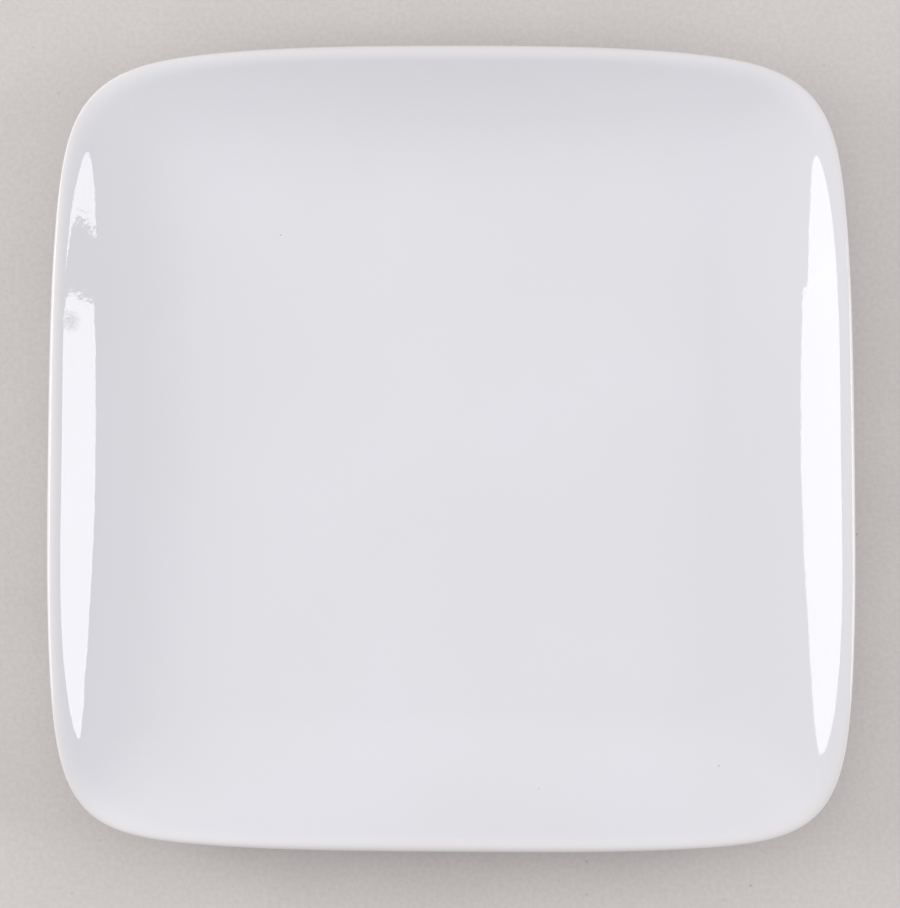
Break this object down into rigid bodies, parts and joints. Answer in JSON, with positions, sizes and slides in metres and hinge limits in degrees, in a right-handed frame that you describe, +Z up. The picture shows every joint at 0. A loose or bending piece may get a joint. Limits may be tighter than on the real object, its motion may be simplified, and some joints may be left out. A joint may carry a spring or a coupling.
{
  "type": "square plate",
  "caption": "Square white dinner plate with bowed sides and rounded corners; its rim climbs in a curve from a flat well, dips at the corners and ends in a rounded lip, over a bare foot ring.",
  "frame": {"origin": "centre of the plate on the surface it stands on", "axes": "+Z up through the middle of the well, X and Y along the sides of the square"},
  "size_m": [0.265, 0.265, 0.0281],
  "materials": {
    "body": "bare fired clay, ground flat under the foot ring",
    "upper_glaze": "gloss white glaze",
    "base_glaze": "gloss white glaze"
  },
  "bodies": {
    "root": {"body": "body", "upper_glaze": "upper_glaze", "base_glaze": "base_glaze"}
  },
  "joints": []
}
